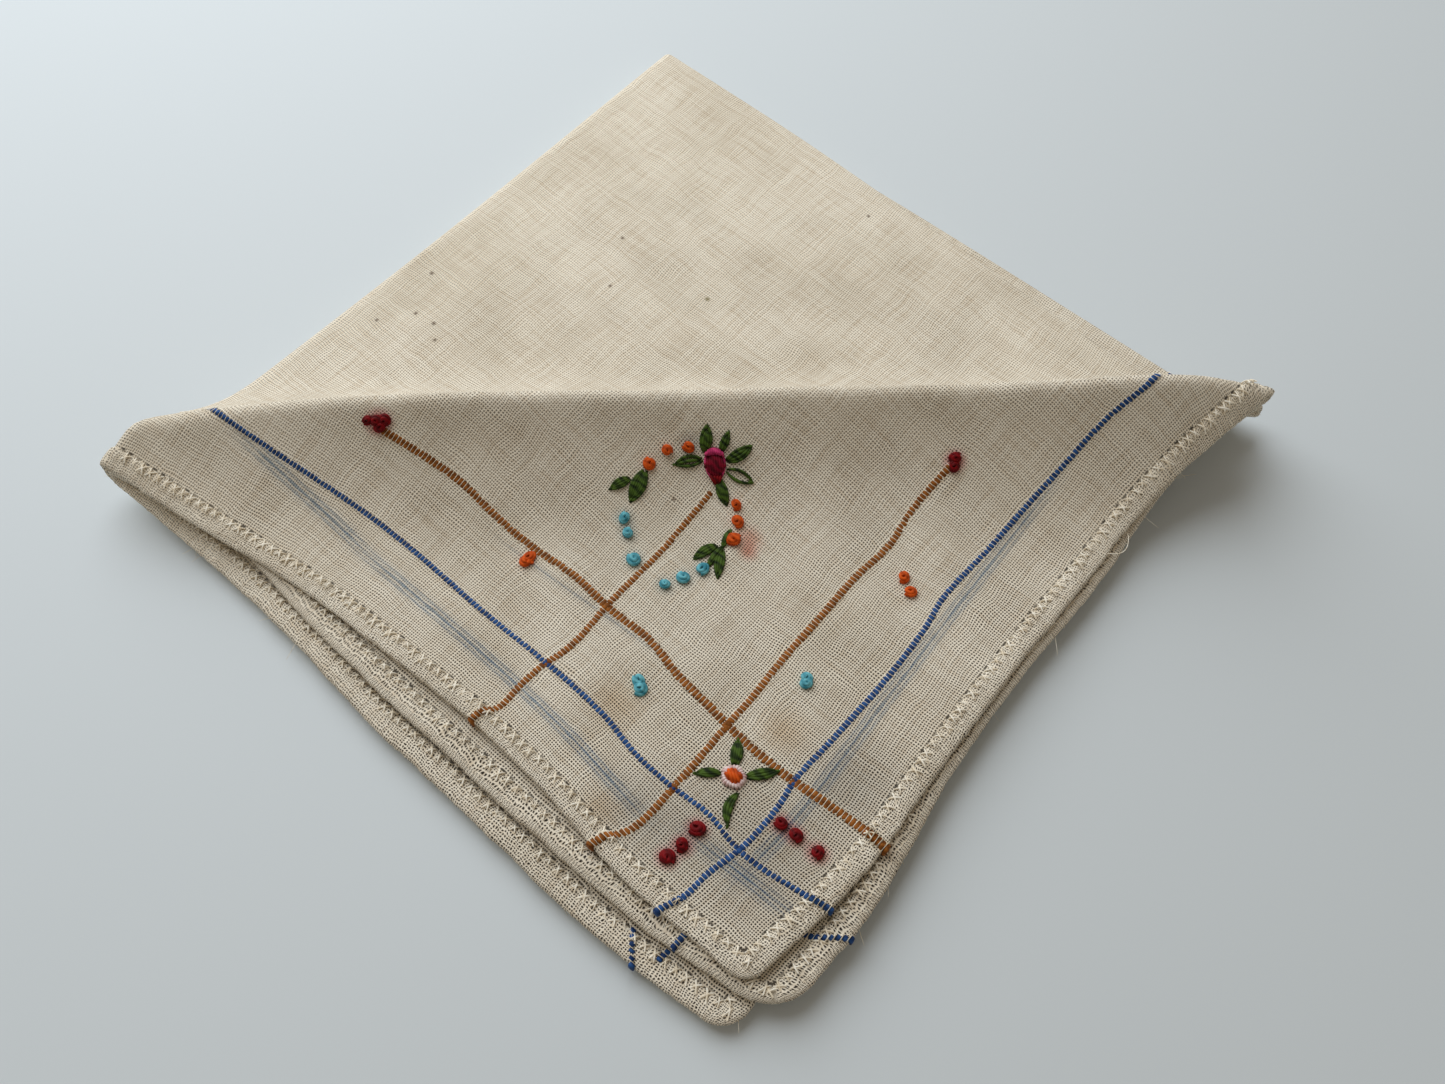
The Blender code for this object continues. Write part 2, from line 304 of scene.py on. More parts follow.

# Marks in the cloth, as places (u, v) with a radius in mm: old yellow stains, brown specks, and
# the red, pink and blue dye that has run from the knots, and painted shade over the free corner.
marks = {
    "yellow": ("#C9A25F", 0.36, ((97.8, 121.2, 6.5), (119.1, 105.8, 6.0), (107.7, 134.8, 4.5))),
    "brown": ("#5B4027", 0.8, (
        (6.7, 73.8, 0.7), (7.3, 87.7, 0.6), (11.6, 82.0, 0.6), (15.9, 81.4, 0.7), (18.9, 83.8, 0.6),
        (34.4, 53.6, 0.6), (59.7, 6.9, 0.6), (28.2, 43.7, 0.6), (81.1, 87.3, 0.55))),
    "olive": ("#7F7A33", 0.8, ((50.0, 43.5, 0.8),)),
    "redRun": ("#E0506C", 0.8, (
        (119.6, 126.9, 2.6), (119.9, 130.3, 2.6), (119.6, 133.1, 2.6), (127.3, 117.9, 2.5),
        (129.8, 117.9, 2.5), (133.5, 117.8, 2.6), (37.0, 110.6, 3.2), (111.5, 50.6, 2.8))),
    "smear": ("#E07A5E", 0.55, ((94.4, 83.8, 3.6), (95.8, 85.6, 2.4))),
    "blueRun": ("#9FBCD0", 0.45, (
        (77.4, 95.6, 2.8), (79.5, 97.2, 2.6), (83.1, 99.9, 2.8), (89.8, 100.0, 2.6),
        (91.3, 96.8, 2.6), (92.4, 93.4, 2.4), (77.0, 78.4, 3.0))),
    # painted shade: the free corner made darker, where the layers lie loose
    "cornerShade": ("#9A9A9C", 0.42, ((126.0, 124.0, 20.0), (112.0, 131.0, 12.0), (131.0, 106.0, 12.0))),
}

# The blue lines of the layer below, where they show in the top one's holes: the way each runs,
# its ends along that way, where it lies across at each end, its half width in mm and its strength.
# The first two drift away from the top layer's own line, and the others lie along theirs.
linesBelow = (
    ("X", (20, 50), (125.0, 129.0), 2.2, 0.9),
    ("X", (50, 112), (129.2, 131.0), 2.2, 0.9),
    ("Y", (44, 128), (126.2, 128.6), 2.0, 0.8),
    ("X", (66, 96), (112.8, 110.2), 1.2, 0.5),
    ("X", (121, 136), (128.2, 127.4), 2.6, 1.0),
)


def linenMaterial(name, stitched):
    material, add, shader = newMaterial(name)
    flat = add("ShaderNodeUVMap", {}, uv_map="flat")
    inMm = add("ShaderNodeVectorMath", {0: flat, 3: 2 * quarter}, operation="SCALE")
    # yarns wander a little, and are crumpled where they are turned and sewn
    wandered = inMm
    crumple = linenLook["hemCrumple" if stitched else "crumple"]
    for scale, detail, reach in ((0.14, 2.0, linenLook["wander"]), (1.1, 1.0, crumple)):
        drift = add("ShaderNodeTexNoise", {"Vector": inMm, "Scale": scale, "Detail": detail})
        wandered = add("ShaderNodeVectorMath", {0: drift.outputs["Color"], 1: (reach, reach, 0.0),
                                                2: wandered}, operation="MULTIPLY_ADD")
    axes = add("ShaderNodeSeparateXYZ", {0: wandered})
    turn = 2 * math.pi / cloth["threadPitch"]
    sideStart, sideEnd = linenLook["yarnSide"]
    gaps, overs = [], []
    for axis in ("X", "Y"):
        full = add("ShaderNodeMath", {0: axes.outputs[axis], 1: turn}, operation="MULTIPLY")
        wave = add("ShaderNodeMath", {0: full}, operation="COSINE")
        gaps.append(add("ShaderNodeMapRange", {0: wave, 1: sideStart, 2: sideEnd}))
        half = add("ShaderNodeMath", {0: full, 1: 0.5}, operation="MULTIPLY")
        overs.append(add("ShaderNodeMath", {0: half}, operation="COSINE"))
    hole = add("ShaderNodeMath", dict(enumerate(gaps)), operation="MULTIPLY")
    crossing = add("ShaderNodeMath", dict(enumerate(overs)), operation="MULTIPLY")
    # thick and thin yarns: noise that is long one way and as short as a yarn the other
    short, long = linenLook["slub"]
    slubs = []
    for stretch in ((short, long, 1.0), (long, short, 1.0)):
        drawn = add("ShaderNodeVectorMath", {0: wandered, 1: stretch}, operation="MULTIPLY")
        slubs.append(add("ShaderNodeTexNoise", {"Vector": drawn, "Scale": 1.0, "Detail": 1.0}))
    both = add("ShaderNodeMath", dict(enumerate(slubs)), operation="ADD")
    slub = add("ShaderNodeMapRange", {0: both, 1: 0.6, 2: 1.15})
    fromMiddle = add("ShaderNodeVectorMath", {0: inMm, 1: (quarter, quarter, 0.0)}, operation="SUBTRACT")
    # the layers lie more loosely towards their free corner, and the holes are painted darker there as shade
    folded = add("ShaderNodeVectorMath", {0: fromMiddle}, operation="ABSOLUTE")
    nearness = add("ShaderNodeVectorMath", {0: folded, 1: (1.0, 1.0, 0.0)}, operation="DOT_PRODUCT")
    apart = add("ShaderNodeTexNoise", {"Vector": inMm, "Scale": 0.09, "Detail": 2.0})
    close, loose = linenLook["parted"]
    parted = add("ShaderNodeMath", {0: apart, 1: close, 2: nearness.outputs["Value"]},
                 operation="MULTIPLY_ADD")
    parted = add("ShaderNodeMapRange", {0: parted, 1: close, 2: loose, 3: 0.45})
    holeShade = add("ShaderNodeMath", {0: hole, 1: parted}, operation="MULTIPLY")
    holeShade = add("ShaderNodeMath", {0: holeShade, 1: linenLook["holeShadeStrength"]}, operation="MULTIPLY")
    blotch = add("ShaderNodeTexNoise", {"Vector": inMm, "Scale": 0.045, "Detail": 3.0})
    soiled = add("ShaderNodeMapRange", {0: blotch, 1: 0.4, 2: 0.75, 4: 0.25})
    inHole, cast, spotted = toLinear(linenLook["hole"]), 0.0, ()
    if not stitched:        # the marks, the slits and the lines below stop at the hem
        spotted = marks.values()
        holeShade = add("ShaderNodeMath", {0: holeShade, 1: hemSlits(add, fromMiddle)}, operation="MAXIMUM")
        for share in showThrough(add, fromMiddle):
            inHole = add("ShaderNodeMix", {0: share, 6: inHole, 7: toLinear(linenLook["show"])},
                         data_type="RGBA").outputs[2]
            cast = add("ShaderNodeMath", {0: share, 1: cast}, operation="MAXIMUM")
    colour = toLinear(linenLook["yarnDark"])
    for share, coat, blend in ((slub, toLinear(linenLook["yarn"]), "MIX"),
                               (soiled, toLinear(linenLook["soil"]), "MULTIPLY"),
                               (cast, toLinear(linenLook["showCast"]), "MULTIPLY"), (holeShade, inHole, "MIX")):
        colour = add("ShaderNodeMix", {0: share, 6: colour, 7: coat},
                     data_type="RGBA", blend_type=blend).outputs[2]
    for code, strength, spots in spotted:
        for u, v, radius in spots:
            away = add("ShaderNodeVectorMath", {0: fromMiddle, 1: (u, v, 0.0)}, operation="DISTANCE")
            strong = add("ShaderNodeMapRange", {0: away.outputs["Value"], 1: radius, 2: 0.0, 4: strength},
                         interpolation_type="SMOOTHSTEP")
            colour = add("ShaderNodeMix", {0: strong, 6: colour, 7: toLinear(code)},
                         data_type="RGBA", blend_type="MULTIPLY").outputs[2]
    relief = add("ShaderNodeMath", {0: crossing, 1: 0.35, 2: slub}, operation="MULTIPLY_ADD")
    height = add("ShaderNodeMath", {0: relief, 1: hole}, operation="SUBTRACT")
    bump = add("ShaderNodeBump", {"Strength": linenLook["bump"], "Distance": linenLook["yarnHeight"] * mm,
                                  "Height": height})
    setInputs(shader, {"Base Color": colour, "Normal": bump, "Roughness": linenLook["roughness"],
                       "Specular IOR Level": linenLook["specular"]})
    return material


def hemSlits(add, fromMiddle):
    # drawn threads beside the hem: the sewing pulls the yarns apart into slits there, painted dark as shade
    place = add("ShaderNodeVectorMath", {0: fromMiddle}, operation="ABSOLUTE")
    place = add("ShaderNodeSeparateXYZ", {0: place})
    sides = {0: place.outputs["X"], 1: place.outputs["Y"]}
    outward = add("ShaderNodeMath", sides, operation="MAXIMUM")
    along = add("ShaderNodeMath", sides, operation="MINIMUM")
    line = quarter - hem["width"] - hem["slitInset"]
    away = add("ShaderNodeMath", {0: outward, 1: line}, operation="SUBTRACT")
    away = add("ShaderNodeMath", {0: away}, operation="ABSOLUTE")
    near = add("ShaderNodeMapRange", {0: away, 1: hem["slitWidth"], 2: hem["slitWidth"] / 2, 4: 0.9})
    turn = add("ShaderNodeMath", {0: along, 1: 2 * math.pi / hem["stitchPitch"]}, operation="MULTIPLY")
    wave = add("ShaderNodeMath", {0: turn}, operation="COSINE")
    slit = add("ShaderNodeMapRange", {0: wave, 1: 0.35, 2: -0.25})
    uneven = add("ShaderNodeTexNoise", {"Vector": fromMiddle, "Scale": 0.6, "Detail": 1.0})
    uneven = add("ShaderNodeMapRange", {0: uneven, 1: 0.35, 2: 0.6, 3: 0.3})
    slit = add("ShaderNodeMath", {0: slit, 1: uneven}, operation="MULTIPLY")
    return add("ShaderNodeMath", {0: near, 1: slit}, operation="MULTIPLY")


def showThrough(add, fromMiddle):
    # how far each of the lines below shows
    place = add("ShaderNodeSeparateXYZ", {0: fromMiddle})
    cloud = add("ShaderNodeTexNoise", {"Vector": fromMiddle, "Scale": 0.5, "Detail": 2.0})
    shares = []
    for run, ends, lies, width, strength in linesBelow:
        along, across = place.outputs[run], place.outputs["Y" if run == "X" else "X"]
        line = add("ShaderNodeMapRange", {0: along, 1: ends[0], 2: ends[1], 3: lies[0], 4: lies[1]})
        away = add("ShaderNodeMath", {0: across, 1: line}, operation="SUBTRACT")
        away = add("ShaderNodeMath", {0: away}, operation="ABSOLUTE")
        near = add("ShaderNodeMapRange", {0: away, 1: width, 2: 0.0, 4: strength},
                   interpolation_type="SMOOTHSTEP")
        turn = add("ShaderNodeMath", {0: away, 1: 2 * math.pi / linenLook["showPitch"]}, operation="MULTIPLY")
        wave = add("ShaderNodeMath", {0: turn}, operation="COSINE")
        threads = add("ShaderNodeMath", {0: wave, 1: 0.35, 2: cloud}, operation="MULTIPLY_ADD")
        threads = add("ShaderNodeMapRange", {0: threads, 1: 0.25, 2: 0.85, 3: 0.25})
        near = add("ShaderNodeMath", {0: near, 1: threads}, operation="MULTIPLY")
        for end, inside in ((ends[0], linenLook["showFade"]), (ends[1], -linenLook["showFade"])):
            faded = add("ShaderNodeMapRange", {0: along, 1: end - inside, 2: end + inside})
            near = add("ShaderNodeMath", {0: near, 1: faded}, operation="MULTIPLY")
        shares.append(near)
    return shares


# Stranded cotton: mercerised and loosely twisted from plies. Soft sheen, and slanting plies that
# show as fine light and dark bands, painted highlight and painted shade on the twist, with random tone.
cottonLook = {
    "ply": 0.5,             # mm
    "fuzz": 900.0,          # cloudings in a metre
    "bump": 0.4,
    "plyHeight": 0.1,       # mm
    "roughness": 0.6,
    "specular": 0.15,
    "sheen": 0.03,
}
# each thread's lighter and darker tone: painted highlight and painted shade on its plies, mixed with random
# tone
threadColours = {
    "blue": ("#2B5591", "#18315F"),
    "brown": ("#9C5C1E", "#6C3C12"),
    "orange": ("#E05C15", "#AA3E08"),
    "lightBlue": ("#70BECB", "#37879A"),
    "green": ("#4A6420", "#152409"),
    "red": ("#82020B", "#520107"),
    "crimson": ("#7E0423", "#4A0211"),
    "pink": ("#CF3E74", "#97204F"),
    "blush": ("#F1DEDC", "#CFA9A6"),
    "cream": ("#FFF9EA", "#EADCC2"),
}


def cottonMaterial(name, colourName):
    light, dark = threadColours[colourName]
    material, add, shader = newMaterial(name)
    at = add("ShaderNodeTexCoord", {}).outputs["Object"]
    scale = 1 / (cottonLook["ply"] * mm) / 2 / math.pi
    wave = add("ShaderNodeTexWave", {"Vector": at, "Scale": scale, "Distortion": 4.0, "Detail": 1.0,
                                     "Detail Scale": 2.0}, bands_direction="DIAGONAL").outputs["Fac"]
    cloud = add("ShaderNodeTexNoise", {"Vector": at, "Scale": cottonLook["fuzz"], "Detail": 2.0})
    blend = add("ShaderNodeMath", {0: wave, 1: 0.6, 2: cloud}, operation="MULTIPLY_ADD")
    share = add("ShaderNodeMapRange", {0: blend, 1: 0.4, 2: 1.1})
    colour = add("ShaderNodeMix", {0: share, 6: toLinear(dark), 7: toLinear(light)}, data_type="RGBA")
    bump = add("ShaderNodeBump", {"Strength": cottonLook["bump"], "Distance": cottonLook["plyHeight"] * mm,
                                  "Height": blend})
    setInputs(shader, {"Base Color": colour.outputs[2], "Normal": bump, "Roughness": cottonLook["roughness"],
                       "Specular IOR Level": cottonLook["specular"], "Sheen Weight": cottonLook["sheen"]})
    return material


def newObject(name, data):
    made = bpy.data.objects.new(name, data)
    bpy.context.scene.collection.objects.link(made)
    return made


def meshPiece(name, points, faces, material, flat=None):
    mesh = bpy.data.meshes.new(name)
    mesh.from_pydata((np.asarray(points) * mm).tolist(), [], faces)
    if flat is not None:
        layer = mesh.uv_layers.new(name="flat")
        corners = np.zeros(len(mesh.loops), int)
        mesh.loops.foreach_get("vertex_index", corners)
        layer.data.foreach_set("uv", (np.asarray(flat)[corners] / (2 * quarter) + 0.5).ravel())
    mesh.shade_smooth()
    mesh.materials.append(material)
    return newObject(name, mesh)


def gridFaces(rows, columns, flip, closed=False, start=0):
    # faces of a grid of points; closed joins the last column to the first
    wide = columns if closed else columns - 1
    i, j = np.meshgrid(np.arange(rows - 1), np.arange(wide), indexing="ij")
    a = start + i * columns + j
    b = start + i * columns + (j + 1) % columns
    c = b + columns
    d = a + columns
    quads = np.stack([a, b, c, d] if flip else [a, d, c, b], axis=-1)
    return quads.reshape(-1, 4)


def cutSquares(squares, otherWay):
    a, b, c, d = squares.T
    first = np.where(otherWay, np.stack([a, b, d]), np.stack([a, b, c]))
    second = np.where(otherWay, np.stack([b, c, d]), np.stack([a, c, d]))
    return np.concatenate([first.T, second.T])


def buildSheet(material):
    fold = np.array([0, 0.25, 0.5, 0.75, 1.0, 1.2, 1.5, 1.9, 2.36, 2.9, 3.6, 4.6])
    plain = np.arange(6.2, cloth["sheetEdge"] - 3, cloth["coarseStep"])
    grid = np.concatenate([fold, plain, [136.4, 137.5, cloth["sheetEdge"]]])
    grid = np.concatenate([-grid[:0:-1], grid])
    count = len(grid)
    u, v = [part.ravel() for part in np.meshgrid(grid, grid, indexing="ij")]
    middle, normal, _, _ = surface(u, v)
    half = cloth["thickness"] / 2
    points = np.concatenate([middle + normal * half, middle - normal * half])
    # each square is cut in two along the ridge, so that its crest is not jagged
    sameSign = (u * v).reshape(count, count)[:-1, :-1].ravel() >= 0
    right = cutSquares(gridFaces(count, count, True), sameSign)
    wrong = cutSquares(gridFaces(count, count, False, start=count * count), sameSign)
    rim = np.concatenate([np.arange(count) * count, (count - 1) * count + np.arange(1, count),
                          np.arange(count - 2, -1, -1) * count + count - 1, np.arange(count - 2, 0, -1)])
    after = np.roll(rim, -1)
    sides = np.stack([rim, after, after + count**2, rim + count**2], axis=1)
    faces = right.tolist() + wrong.tolist() + sides.tolist()
    flat = np.stack([u, v], axis=1)
    return meshPiece("linenSheet", points, faces, material, np.concatenate([flat, flat]))


def onSide(side, along, out):
    # (u, v) on one of the cloth's four sides, along it and out from the middle
    return np.choose(side, (along, out, -along, -out)), np.choose(side, (out, -along, -out, along))


def buildHem(material):
    # a turned hem: a flat, slightly puffed band round the cloth, drawn in at each stitch
    near = np.arange(-3.2, 3.2, 0.2)        # closer steps round a fold
    far = np.arange(3.2, quarter, hem["step"])
    stops = np.concatenate([-far[::-1], near, far])
    along = np.concatenate([stops, stops, stops, stops])
    side = np.repeat(np.arange(4), len(stops))[:, None]
    around = np.linspace(0, 2 * math.pi, 14, endpoint=False)
    inward = 0.5 - 0.5 * np.sign(np.cos(around)) * np.abs(np.cos(around)) ** 0.7
    thick = np.sign(np.sin(around)) * np.abs(np.sin(around)) ** 0.55
    phase = 2 * math.pi * along / hem["stitchPitch"]
    noise = np.random.default_rng(4)
    wobble = np.convolve(noise.normal(0, 1, len(along) + 8), np.ones(9) / 3, "valid") * 0.10
    drawn = 0.5 + 0.5 * np.cos(phase)
    width = hem["width"] + wobble + 0.12 * np.cos(phase)
    inset = inward[None, :] * width[:, None] + (wobble * 0.6)[:, None] * (1 - inward)[None, :]
    pull = hem["pucker"] * drawn[:, None] * np.clip(1.6 * inward - 0.5, 0, 1)[None, :]
    lumpy = 1 + 0.5 * wobble[:, None]
    nubs = noise.normal(0, 0.1, (len(along), len(around)))
    nubs = (np.roll(nubs, 1, axis=1) + 2 * nubs + np.roll(nubs, -1, axis=1)) / 4
    height = hem["thickness"] / 2 * thick[None, :] * (1 - pull) * (lumpy + nubs)
    inset = inset + 0.5 * np.roll(nubs, 3, axis=1)
    run = along[:, None] * ((quarter - inset) / quarter)
    u, v = onSide(side, run, quarter - inset)
    points = place(u, v, height.ravel())
    rows, columns = u.shape
    faces = gridFaces(rows, columns, True, closed=True)
    last = (rows - 1) * columns
    ring = np.arange(columns)
    join = np.stack([last + ring, last + np.roll(ring, -1), np.roll(ring, -1), ring], axis=1)
    # its yarns run on round the turned edge, so the pattern goes by the length round the hem
    profile = np.stack([inward * hem["width"], thick * hem["thickness"] / 2], axis=1)
    lengths = np.linalg.norm(np.diff(profile, axis=0), axis=1)
    half = columns // 2
    inFrom = np.concatenate([[0.0], np.cumsum(lengths[:half]), -np.cumsum(lengths[half:][::-1])[::-1]])
    turned = np.broadcast_to(quarter - hem["yarnsCloser"] * inFrom[None, :], u.shape)
    flat = np.stack([part.ravel() for part in onSide(side, run, turned)], axis=1)
    return meshPiece("linenHem", points, np.concatenate([faces, join]).tolist(), material, flat)


# The drawn-in coloured lines, in mm: each keeps the u or the v of its inset, between two ends,
# and wanders by listed amounts. The brown ones are on the top quarter alone. Widths are read
# at even steps along the line.
lines = {
    "blueFirst": {
        "colour": "blue", "keeps": "v", "from": -140, "to": 140.3, "width": (1.1, 1.1, 1.05),
        "at": (-140, -40, 27, 54, 72, 85, 99, 106, 112, 119, 126, 131, 135, 140),
        "inset": (124, 124, 124.1, 123.8, 124.3, 124.1, 124.3, 125.1, 124.8, 124, 125.2, 124.9, 124.2,
                  123.4)},
    "blueSecond": {
        "colour": "blue", "keeps": "u", "from": -140, "to": 140.3, "width": (1.1, 1.2, 1.15),
        "at": (-140, -30, 12, 20, 29, 40, 60, 71, 77, 88, 103, 111, 116, 125, 131, 136, 140),
        "inset": (123.4, 124, 127, 126.7, 125.4, 125.3, 124.8, 124.4, 125.2, 125.6, 125.1, 124.7, 125.4,
                  125.8, 125.2, 125.2, 124.2)},
    "blueThird": {
        "colour": "blue", "keeps": "v", "from": -140, "to": 140.3, "width": (1.0, 1.0),
        "at": (-140, 0, 120, 132, 136, 140), "inset": (-124, -123, -126, -128, -127, -124)},
    "blueFourth": {
        "colour": "blue", "keeps": "u", "from": -137.6, "to": 140, "width": (1.0, 1.0),
        "at": (-138, -133, -120, 0, 140), "inset": (-126, -126.5, -124, -123, -124)},
    "blueEnd": {
        "colour": "blue", "keeps": "u", "from": -140.3, "to": -136.2, "width": (1.0, 1.0),
        "at": (-140, -136), "inset": (-123.6, -120.3)},
    "brownFirst": {
        "colour": "brown", "keeps": "v", "from": 38.3, "to": 140.3, "width": (1.6, 1.5, 1.6, 1.7, 1.65),
        "at": (38, 47, 53, 63, 70, 78, 86, 96, 100, 107, 116, 125, 131, 136, 140),
        "inset": (111.3, 110.4, 109.9, 110.3, 110, 109.1, 109.6, 109.4, 110.4, 110.9, 111.4, 111.3,
                  110.8, 110.4, 110.7)},
    "brownSecond": {
        "colour": "brown", "keeps": "u", "from": 50.2, "to": 140.2, "width": (1.4, 1.5, 1.4, 1.45),
        "at": (50, 61, 69, 77, 87, 97, 106, 111, 119, 125, 130, 135, 137, 140),
        "inset": (111.5, 111.3, 112.2, 111.5, 111.6, 111.7, 112.1, 112.1, 112.6, 113, 113.4, 112.7,
                  111.6, 110.8)},
    "brownThird": {
        "colour": "brown", "keeps": "u", "from": 82.0, "to": 140.2, "width": (1.25, 1.35, 1.35),
        "at": (81, 88, 96, 102, 110, 116, 121, 125, 131, 135, 138, 140),
        "inset": (84.8, 85.1, 85.4, 85.4, 85.6, 86.2, 86.2, 85.5, 85.5, 85.7, 84.4, 84.4)},
}

ladder = {
    "pitch": 0.71,          # mm between the cream cross threads
    "barLength": 1.05,      # of the pitch, so that the coloured bars run into each other
    "barThickness": 0.5,    # mm, through the cloth
    "crossRadius": 0.07,    # mm
    "crossThickness": 0.6,  # mm, through the cloth
    "crossOver": 0.3,       # mm that a cross thread reaches beyond the ribbon
    "knotReach": 0.8,       # mm from a crossing of two lines that has no cross threads
}


def linePlaces(line, pitch, shift):
    stops = np.arange(line["from"] + pitch * (0.5 + shift), line["to"], pitch)
    inset = readSmooth(stops, line["at"], line["inset"])
    if shift:
        others = [other for other in lines.values() if other["keeps"] != line["keeps"]]
        for other in others:
            crossed = readSmooth(inset, other["at"], other["inset"])
            within = (inset > other["from"]) & (inset < other["to"])
            met = within & (np.abs(stops - crossed) < ladder["knotReach"])
            stops, inset = stops[~met], inset[~met]
    share = (stops - line["from"]) / (line["to"] - line["from"])
    width = readEven(share * (len(line["width"]) - 1), line["width"])
    u, v = (stops, inset) if line["keeps"] == "v" else (inset, stops)
    # over its hems a line is sewn on top, so it is thicker there by the hem
    climb = np.clip((hem["width"] + 0.4 - quarter + np.maximum(np.abs(u), np.abs(v))) / 0.8, 0, 1)
    return u, v, width, 1 + climb * (1.1 * hem["thickness"] / ladder["barThickness"])


def scatterTree(name, sizes, unitMaker, material):
    # puts one unit on every point, turned to the cloth, with a little unevenness
    tree = bpy.data.node_groups.new(name, "GeometryNodeTree")
    for way in ("INPUT", "OUTPUT"):
        tree.interface.new_socket("Geometry", in_out=way, socket_type="NodeSocketGeometry")
    for title in sizes:
        kind = "NodeSocketInt" if title == "Seed" else "NodeSocketFloat"
        tree.interface.new_socket(title, in_out="INPUT", socket_type=kind)
    add = partial(addNode, tree)
    given = add("NodeGroupInput", {}).outputs
    shape = unitMaker(add, given)
    upward, forward, size = [add("GeometryNodeInputNamedAttribute", {"Name": title}, data_type="FLOAT_VECTOR")
                             for title in ("upward", "forward", "size")]
    turned = add("FunctionNodeAxesToRotation", {0: upward, 1: forward}, primary_axis="Z", secondary_axis="X")
    placed = add("GeometryNodeInstanceOnPoints", {"Points": given["Geometry"], "Instance": shape,
                                                  "Rotation": turned, "Scale": size})
    back = add("FunctionNodeRandomValue", {"Seed": given["Seed"]}, data_type="FLOAT_VECTOR")
    spread = add("ShaderNodeVectorMath", {0: back, 1: (-0.5, -0.5, -0.5)}, operation="ADD")
    angle = add("ShaderNodeVectorMath", {0: spread, 3: given["Unevenness"]}, operation="SCALE")
    uneven = add("GeometryNodeRotateInstances", {"Instances": placed, "Rotation": angle, "Local Space": True})
    grown = add("ShaderNodeVectorMath", {0: angle, 1: (1.0, 1.0, 1.0)}, operation="ADD")
    scaled = add("GeometryNodeScaleInstances", {"Instances": uneven, "Scale": grown})
    real = add("GeometryNodeRealizeInstances", {"Geometry": scaled})
    smooth = add("GeometryNodeSetShadeSmooth", {"Geometry": real})
    dressed = add("GeometryNodeSetMaterial", {"Geometry": smooth, "Material": material})
    add("NodeGroupOutput", {"Geometry": dressed})
    return tree


def sewOn(name, rows, unitMaker, sizes, material):
    # rows hold places, the directions up and along, and three-way sizes for the units on them
    places, *carried = [np.concatenate(parts) for parts in zip(*rows)]
    mesh = bpy.data.meshes.new(name)
    mesh.from_pydata((places * mm).tolist(), [], [])
    for title, values in zip(("upward", "forward", "size"), carried):
        mesh.attributes.new(title, "FLOAT_VECTOR", "POINT").data.foreach_set("vector", values.ravel())
    piece = newObject(name, mesh)
    tree = scatterTree(name + "Nodes", sizes, unitMaker, material)
    modifier = piece.modifiers.new("grow", "NODES")
    modifier.node_group = tree
    for item in tree.interface.items_tree:
        if item.in_out == "INPUT" and item.name in sizes:
            modifier[item.identifier] = sizes[item.name]
    evaluated = piece.evaluated_get(bpy.context.evaluated_depsgraph_get())
    mesh = bpy.data.meshes.new_from_object(evaluated)
    piece.modifiers.remove(modifier)
    piece.data = mesh
    print(piece.name, len(mesh.polygons), "faces")
    return piece


def barUnit(add, given):
    # a block of coloured thread with softened edges, as wide as the line
    cube = add("GeometryNodeMeshCube", {"Size": (1.0, 1.0, 1.0)})
    soft = add("GeometryNodeSubdivisionSurface", {"Mesh": cube, "Level": 1, "Edge Crease": 0.97})
    size = add("ShaderNodeCombineXYZ", {0: given["Length"], 1: given["Width"], 2: given["Thickness"]})
    return add("GeometryNodeTransform", {"Geometry": soft, "Scale": size})


def crossUnit(add, given):
    # a cream thread across the line, over both faces of the cloth
    tube = add("GeometryNodeMeshCylinder", {"Vertices": 8, "Radius": 1.0, "Depth": 1.0})
    size = add("ShaderNodeCombineXYZ", {0: given["Thickness"], 1: given["Radius"], 2: given["Length"]})
    stretched = add("GeometryNodeTransform", {"Geometry": tube, "Scale": size})
    return add("GeometryNodeTransform", {"Geometry": stretched, "Rotation": (math.pi / 2, math.pi / 2, 0.0)})


def hemStitchUnit(add, given):
    # one crossed stitch: two strands from beside the hem's edge, up and over on to the hem
    half = add("ShaderNodeMath", {0: given["Width"], 1: 0.5}, operation="MULTIPLY")
    back = add("ShaderNodeMath", {0: half, 1: -1.0}, operation="MULTIPLY")
    reach = add("ShaderNodeMath", {0: given["Reach"], 1: -1.0}, operation="MULTIPLY")
    strands = add("GeometryNodeJoinGeometry", {})
    for start, end in ((half, back), (back, half)):
        foot = add("ShaderNodeCombineXYZ", {0: start})
        top = add("ShaderNodeCombineXYZ", {0: end, 1: reach, 2: given["Rise"]})
        knee = add("ShaderNodeVectorMath", {0: foot, 1: top}, operation="ADD")
        knee = add("ShaderNodeVectorMath", {0: knee, 1: hem["stitchKnee"]}, operation="MULTIPLY")
        path = add("GeometryNodeCurveQuadraticBezier",
                   {"Resolution": 5, "Start": foot, "Middle": knee, "End": top})
        ring = add("GeometryNodeCurvePrimitiveCircle", {"Resolution": 6, "Radius": given["Radius"]})
        tube = add("GeometryNodeCurveToMesh", {"Curve": path, "Profile Curve": ring, "Fill Caps": True})
        setInputs(strands, {0: tube})
    return strands


def knotUnit(add, given):
    # a French knot: the thread wound round itself, dipping at its middle
    coil = add("GeometryNodeCurveSpiral", {"Resolution": 14, "Rotations": 1.9, "Start Radius": given["Inner"],
                                           "End Radius": given["Outer"], "Height": given["Drop"]})
    ring = add("GeometryNodeCurvePrimitiveCircle", {"Resolution": 8, "Radius": given["Radius"]})
    return add("GeometryNodeCurveToMesh", {"Curve": coil, "Profile Curve": ring, "Fill Caps": True})


